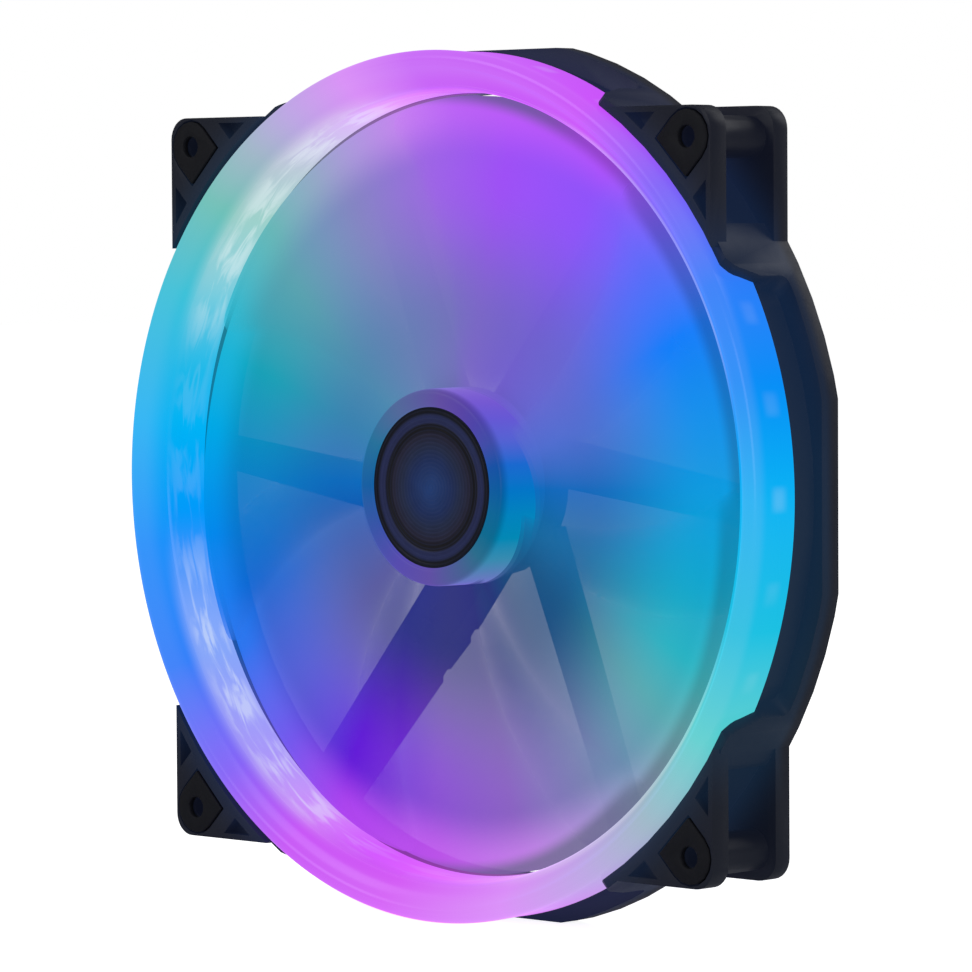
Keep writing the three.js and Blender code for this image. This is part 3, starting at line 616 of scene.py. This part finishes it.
# Dark and light tone, roughness, grain cells in a metre, and grain depth in metres.
MOULDED = {
    "pad_rubber": ("#0a0b11", "#12141c", 0.68, 1500.0, 0.00005),
    "label_film": ("#14161b", "#22252c", 0.36, 700.0, 0.00002),
    "lead_insulation": ("#101114", "#1b1c20", 0.5, 900.0, 0.00003),
    "magnet": ("#2a2725", "#3e3a37", 0.6, 1800.0, 0.00006),
    "white_plastic": ("#d2d3d6", "#ececee", 0.42, 2000.0, 0.00003),
    "chip_plastic": ("#0b0c0e", "#191a1d", 0.5, 3000.0, 0.00003),
}
# Dark and light tone, roughness, and how closely the streaks lie along X, Y and Z.
METALS = {
    "yoke_steel": ("#8f949a", "#c9ccd0", 0.34, (1.0, 0.1, 1.0)),
    "shaft_steel": ("#b5b9be", "#e4e6e8", 0.18, (1.0, 8.0, 1.0)),
    "core_steel": ("#4e5257", "#8b9096", 0.45, (0.2, 2.2, 0.2)),
    "bearing_brass": ("#7d6330", "#c7a55c", 0.4, (1.0, 0.3, 1.0)),
}
# Colour of the solder mask and of the traces.
BOARDS = {
    "white_board": ("#dfe3e6", "#b9a878"),
    "green_board": ("#12402a", "#2f8a54"),
}
MATERIALS = {
    "black_plastic": housing_material(),
    "diffuser_plastic": diffuser_material(),
    "frosted_blades": blade_material(),
    "frosted_plastic": frosted("frosted_plastic", hub_glow).material,
    "badge_film": badge_material(),
    "copper_winding": winding_material(),
}
for maker, table in ((moulded, MOULDED), (brushed_metal, METALS), (circuit_board, BOARDS)):
    for name, values in table.items():
        MATERIALS[name] = maker(name, *values).material

# ---------------------------------------------------------------- mesh helpers


def new_piece(name, mesh, body, material, replaces=None):
    """Puts a mesh drawn in the fan's frame into place with its material, parents it to its body's
    empty and hides the CAD node that it replaces.
    """
    piece = bpy.data.objects.new(name, mesh)
    bpy.context.scene.collection.objects.link(piece)
    piece.data.materials.clear()
    piece.data.materials.append(MATERIALS[material])
    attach(piece, body)
    if replaces:
        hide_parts(replaces)
    return piece


def mesh_from(name, points, faces):
    """A smooth-shaded mesh from points in millimetres in the fan's frame."""
    mesh = bpy.data.meshes.new(name)
    mesh.from_pydata([ORIGIN + Vector(p) * MM for p in points], [], faces)
    mesh.update()
    work = bmesh.new()
    work.from_mesh(mesh)
    bmesh.ops.recalc_face_normals(work, faces=work.faces)
    for face in work.faces:
        face.smooth = True
    work.to_mesh(mesh)
    work.free()
    return mesh


LONGEST_ROUND = 0.45        # share of a side that the rounding of one corner may take
AXIS_GAP = 0.001            # how near the axis, in millimetres, a turned solid closes


def rounded(outline, reach, steps=4):
    """Rounds each corner of a closed outline, starting reach away from it."""
    result = []
    count = len(outline)
    for i, corner in enumerate(outline):
        here = Vector(corner)
        before = Vector(outline[i - 1])
        after = Vector(outline[(i + 1) % count])
        back, forth = before - here, after - here
        start = here + back.normalized() * min(reach, back.length * LONGEST_ROUND)
        end = here + forth.normalized() * min(reach, forth.length * LONGEST_ROUND)
        for step in range(steps + 1):
            t = step / steps
            point = start * (1 - t) ** 2 + here * 2 * t * (1 - t) + end * t ** 2
            result.append((point.x, point.y))
    return result


def turned(name, outline, steps):
    """A solid of revolution round the shaft from a closed outline of (radius, y) points.

    Points on the axis are kept a hair away from it, so that the solid closes there."""
    points = []
    for step in range(steps):
        angle = 2 * math.pi * step / steps
        for radius, y in outline:
            reach = max(radius, AXIS_GAP)
            points.append((math.cos(angle) * reach, y, math.sin(angle) * reach))
    count = len(outline)
    faces = []
    for step in range(steps):
        here = step * count
        there = (step + 1) % steps * count
        for i in range(count):
            j = (i + 1) % count
            faces.append((here + i, here + j, there + j, there + i))
    return mesh_from(name, points, faces)


# ---------------------------------------------------------------- diffuser ring


def ring_outline():
    """Section of the ring: the crest's arc, then the mouth, the duct wall and round the inside."""
    crest = []
    for step in range(CREST_STEPS + 1):
        angle = math.radians(CREST_ARC * step / CREST_STEPS)
        crest.append((
            CREST_RADIUS + math.cos(angle) * CREST_ROUND,
            CREST_DEPTH - math.sin(angle) * CREST_ROUND,
        ))
    front = rounded([
        *MOUTH_LIP,
        (DUCT_RADIUS, RING_INNER_REAR),
        (DUCT_RADIUS + RING_WALL, RING_INNER_REAR),
        THROAT_INSIDE,
        (CREST_RADIUS - CREST_HOLLOW, CREST_DEPTH + HOLLOW_DROP),
        (CREST_RADIUS + CREST_HOLLOW, CREST_DEPTH),
        (RING_RADIUS - SKIRT_WALL, RING_REAR),
        (RING_RADIUS, RING_REAR),
    ], RING_ROUND)
    return [*crest, *front]


ring_mesh = turned("ring", ring_outline(), RING_STEPS)
new_piece("ring", ring_mesh, "housing", "diffuser_plastic", "diffuser_ring")

# ---------------------------------------------------------------- impeller


def corner_cut(back):
    """How much shorter than its tip radius a blade is, at a share of the way back along its tip."""
    chord = math.radians(BLADE_TIP_SPREAD) * BLADE_TIP
    total = TIP_TRIM * max(0.0, 1 - 2 * back) ** TRIM_POWER
    for distance, corner in ((back * chord, LEADING_ROUND), ((1 - back) * chord, TRAILING_ROUND)):
        inside = max(0.0, corner - distance)
        total += corner - math.sqrt(corner ** 2 - inside ** 2)
    return total


def blade_point(angle, along, across, side):
    """A point of one blade and the share of its thickness there.

    along and across run from 0 to 1 from root to tip and from leading to trailing edge. The share
    falls to 0 at both edges, over the stretch where neighbouring blades overlap, but the trailing
    half stays whole at its tip."""
    back = 0.5 - math.cos(math.pi * across) / 2
    radius = BLADE_ROOT + (BLADE_TIP - corner_cut(back) - BLADE_ROOT) * along
    out = max(0.0, (radius - BLADE_ROOT) / (BLADE_TIP - BLADE_ROOT))
    spread = BLADE_ROOT_SPREAD + (BLADE_TIP_SPREAD - BLADE_ROOT_SPREAD) * out
    turn = math.radians(angle + BLADE_SWEEP * out ** SWEEP_GROWTH - (back - 0.5) * spread)
    front = BLADE_FRONT_ROOT + (BLADE_FRONT_TIP - BLADE_FRONT_ROOT) * out
    rear = BLADE_REAR_ROOT + (BLADE_REAR_TIP - BLADE_REAR_ROOT) * min(1.0, out * REAR_EASE)
    camber = math.sin(math.pi * back) * BLADE_CAMBER
    middle = front + BLADE_THICKNESS / 2 + (rear - front - BLADE_THICKNESS) * back + camber
    thickness = BLADE_THICKNESS * (1 - EDGE_THINNING * abs(2 * back - 1) ** 3)
    y = middle + side * thickness / 2
    overlap = 1 - 360 / BLADE_COUNT / spread
    inward = min(1.0, back / overlap, (1 - back) / overlap)
    body = 1 - (1 - inward) ** FADE_POWER
    if back > 0.5:
        body = max(body, min(1.0, (radius - TIP_SEAL) / (BLADE_TIP - TIP_SEAL)))
    return (math.cos(turn) * radius, y, math.sin(turn) * radius), body


def blade_mesh_data(angle, first):
    """Points, body shares and faces of one blade: two skins whose edges meet in a rim."""
    points, bodies = [], []
    for side in (-1, 1):
        for i in range(BLADE_ALONG + 1):
            for j in range(BLADE_ACROSS + 1):
                point, body = blade_point(angle, i / BLADE_ALONG, j / BLADE_ACROSS, side)
                points.append(point)
                bodies.append(body)
    row = BLADE_ACROSS + 1
    skin = (BLADE_ALONG + 1) * row
    faces = []
    for i in range(BLADE_ALONG):
        for j in range(BLADE_ACROSS):
            corners = (i * row + j, i * row + j + 1, (i + 1) * row + j + 1, (i + 1) * row + j)
            faces.append(tuple(first + c for c in corners))
            faces.append(tuple(first + skin + c for c in reversed(corners)))
    border = list(range(BLADE_ACROSS))
    border += [i * row + BLADE_ACROSS for i in range(BLADE_ALONG)]
    border += [BLADE_ALONG * row + j for j in range(BLADE_ACROSS, 0, -1)]
    border += [i * row for i in range(BLADE_ALONG, 0, -1)]
    for here, there in zip(border, [*border[1:], border[0]]):
        faces.append((first + here, first + there, first + skin + there, first + skin + here))
    return points, bodies, faces


def impeller_blades():
    """All the blades as one mesh, which keeps each point's body share as an attribute."""
    points, bodies, faces = [], [], []
    for index in range(BLADE_COUNT):
        angle = index * 360 / BLADE_COUNT
        more_points, more_bodies, more_faces = blade_mesh_data(angle, len(points))
        points += more_points
        bodies += more_bodies
        faces += more_faces
    mesh = mesh_from("impeller_blades", points, faces)
    mesh.attributes.new("body", "FLOAT", "POINT").data.foreach_set("value", bodies)
    return mesh


def impeller_hub():
    """The hub: a cup with a seat for the badge in its front face."""
    outline = rounded([
        (0.0, BADGE_SEAT[0][1]),
        *BADGE_SEAT,
        *HUB_SHOULDER,
        (HUB_RADIUS, HUB_REAR),
        (HUB_BORE, HUB_REAR),
        (HUB_BORE, HUB_FACE),
        (0.0, HUB_FACE),
    ], HUB_ROUND, steps=6)
    return turned("impeller_hub", outline, HUB_STEPS)


new_piece(
    "impeller_blades", impeller_blades(), "rotor", "frosted_blades", "impeller",
)
new_piece("impeller_hub", impeller_hub(), "rotor", "frosted_plastic", "impeller")

# ---------------------------------------------------------------- hub badge


def badge_outline():
    """A thin disc with a raised rim, and a shallow groove in its face."""
    inner, groove_inner, groove_outer, outer, rim_inner, rim = BADGE_TERRACES
    low = BADGE_FRONT + 2 * BADGE_STEP
    middle = BADGE_FRONT + BADGE_STEP
    return rounded([
        (0.0, middle),
        (inner, middle),
        (groove_inner, low),
        (groove_outer, low),
        (outer, middle),
        (rim_inner, middle),
        (rim, BADGE_FRONT),
        (BADGE_RADIUS, BADGE_FRONT),
        (BADGE_RADIUS, BADGE_REAR),
        (0.0, BADGE_REAR),
    ], BADGE_ROUND)


badge_mesh = turned("badge", badge_outline(), HUB_STEPS)
new_piece("badge", badge_mesh, "rotor", "badge_film", "hub_badge")

# ---------------------------------------------------------------- housing and pads


MERGE_DISTANCE = 0.01       # millimetres
FLAT_ANGLE = 0.6            # degrees: faces that meet at less than this become one
ROUNDED_ANGLE = 28.0        # degrees: edges that turn by more than this are rounded


def softened(node, name, material, width):
    """A CAD node's shape with flat faces merged and its edges rounded by width millimetres."""
    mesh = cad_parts[node].data.copy()
    mesh.name = name
    work = bmesh.new()
    work.from_mesh(mesh)
    bmesh.ops.remove_doubles(work, verts=work.verts, dist=MERGE_DISTANCE * MM)
    bmesh.ops.dissolve_limit(
        work,
        angle_limit=math.radians(FLAT_ANGLE),
        verts=work.verts,
        edges=work.edges,
        use_dissolve_boundaries=False,
    )
    for face in work.faces:
        face.smooth = True
    work.to_mesh(mesh)
    work.free()
    piece = new_piece(name, mesh, "housing", material, node)
    bevel = piece.modifiers.new("round_edges", "BEVEL")
    bevel.width = width * MM
    bevel.segments = 2
    bevel.limit_method = "ANGLE"
    bevel.angle_limit = math.radians(ROUNDED_ANGLE)
    bevel.harden_normals = True


softened("frame", "shell", "black_plastic", HOUSING_ROUND)

for side in ("front", "rear"):
    for corner in ("top_right", "top_left", "bottom_left", "bottom_right"):
        softened(f"{side}_pad_{corner}", f"{side}_cushion_{corner}", "pad_rubber", PAD_ROUND)

# ---------------------------------------------------------------- carried-over CAD nodes

CARRIED = {
    "light_board": "white_board",
    "lamp_lead": "lead_insulation",
    "rotor_yoke": "yoke_steel",
    "ring_magnet": "magnet",
    "shaft_bush": "bearing_brass",
    "shaft": "shaft_steel",
    "shaft_clip": "shaft_steel",
    "bearing_sleeve": "bearing_brass",
    "oil_seal": "white_plastic",
    "thrust_pad": "white_plastic",
    "stator_core": "core_steel",
    "front_insulator": "white_plastic",
    "rear_insulator": "white_plastic",
    "motor_board": "green_board",
    "hall_sensor": "chip_plastic",
    "driver_chip": "chip_plastic",
    "rear_label": "label_film",
}
CARRIED.update({f"coil_{number}": "copper_winding" for number in range(1, 5)})

for node, material in CARRIED.items():
    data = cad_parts[node].data
    data.materials.clear()
    data.materials.append(MATERIALS[material])

# ---------------------------------------------------------------- floor, light and camera


def area_light(name, place, target, size, power):
    data = bpy.data.lights.new(name, "AREA")
    data.shape = "RECTANGLE"
    data.size, data.size_y = size
    data.energy = power
    lamp = bpy.data.objects.new(name, data)
    lamp.location = place
    lamp.rotation_euler = (Vector(target) - Vector(place)).to_track_quat("-Z", "Y").to_euler()
    bpy.context.scene.collection.objects.link(lamp)


def paper_floor():
    """A plain pale floor that shows as white, whatever falls on it."""
    half = FLOOR_HALF
    corners = [(-half, -half, 0.0), (half, -half, 0.0), (half, half, 0.0), (-half, half, 0.0)]
    mesh = bpy.data.meshes.new("floor")
    mesh.from_pydata(corners, [], [(0, 1, 2, 3)])
    floor = bpy.data.objects.new("floor", mesh)
    bpy.context.scene.collection.objects.link(floor)
    look = Look("floor_paper", roughness=0.9)
    look.colour(look.mix(look.noise(scale=3.0, detail=2.0), FLOOR_TINT, WHITE))
    seen = look.node("ShaderNodeLightPath").outputs["Is Camera Ray"]
    look.glow(srgb(WHITE), look.times(seen, FLOOR_GLOW))
    floor.data.materials.append(look.material)


def white_world():
    """White behind the fan, but only a little light from all round."""
    world = bpy.data.worlds.new("studio")
    world.use_nodes = True
    tree = world.node_tree
    background = tree.nodes["Background"]
    background.inputs["Color"].default_value = srgb(WHITE)
    seen = tree.nodes.new("ShaderNodeLightPath").outputs["Is Camera Ray"]
    strength = tree.nodes.new("ShaderNodeMapRange")
    strength.inputs["To Min"].default_value = AMBIENT
    strength.inputs["To Max"].default_value = 1.0
    tree.links.new(seen, strength.inputs["Value"])
    tree.links.new(strength.outputs["Result"], background.inputs["Strength"])
    bpy.context.scene.world = world


def camera():
    azimuth = math.radians(CAMERA_AZIMUTH)
    elevation = math.radians(CAMERA_ELEVATION)
    roll = math.radians(CAMERA_ROLL)
    back = Vector((
        math.sin(azimuth) * math.cos(elevation),
        -math.cos(azimuth) * math.cos(elevation),
        math.sin(elevation),
    ))
    right = Vector((math.cos(azimuth), math.sin(azimuth), 0.0))
    up = back.cross(right)
    rolled_right = right * math.cos(roll) + up * math.sin(roll)
    rolled_up = up * math.cos(roll) - right * math.sin(roll)
    data = bpy.data.cameras.new("camera")
    data.lens = CAMERA_LENS
    data.sensor_width = CAMERA_SENSOR
    data.clip_start = CAMERA_NEAR
    made = bpy.data.objects.new("camera", data)
    turn = Matrix((rolled_right, rolled_up, back)).transposed()
    place = Matrix.Translation(ORIGIN + AIM_OFFSET + back * CAMERA_DISTANCE)
    made.matrix_world = place @ turn.to_4x4()
    bpy.context.scene.collection.objects.link(made)
    bpy.context.scene.camera = made


paper_floor()
white_world()
for name, (place, size, power) in LAMPS.items():
    area_light(name, place, ORIGIN, size, power)
camera()
bpy.context.scene.view_settings.view_transform = "Standard"
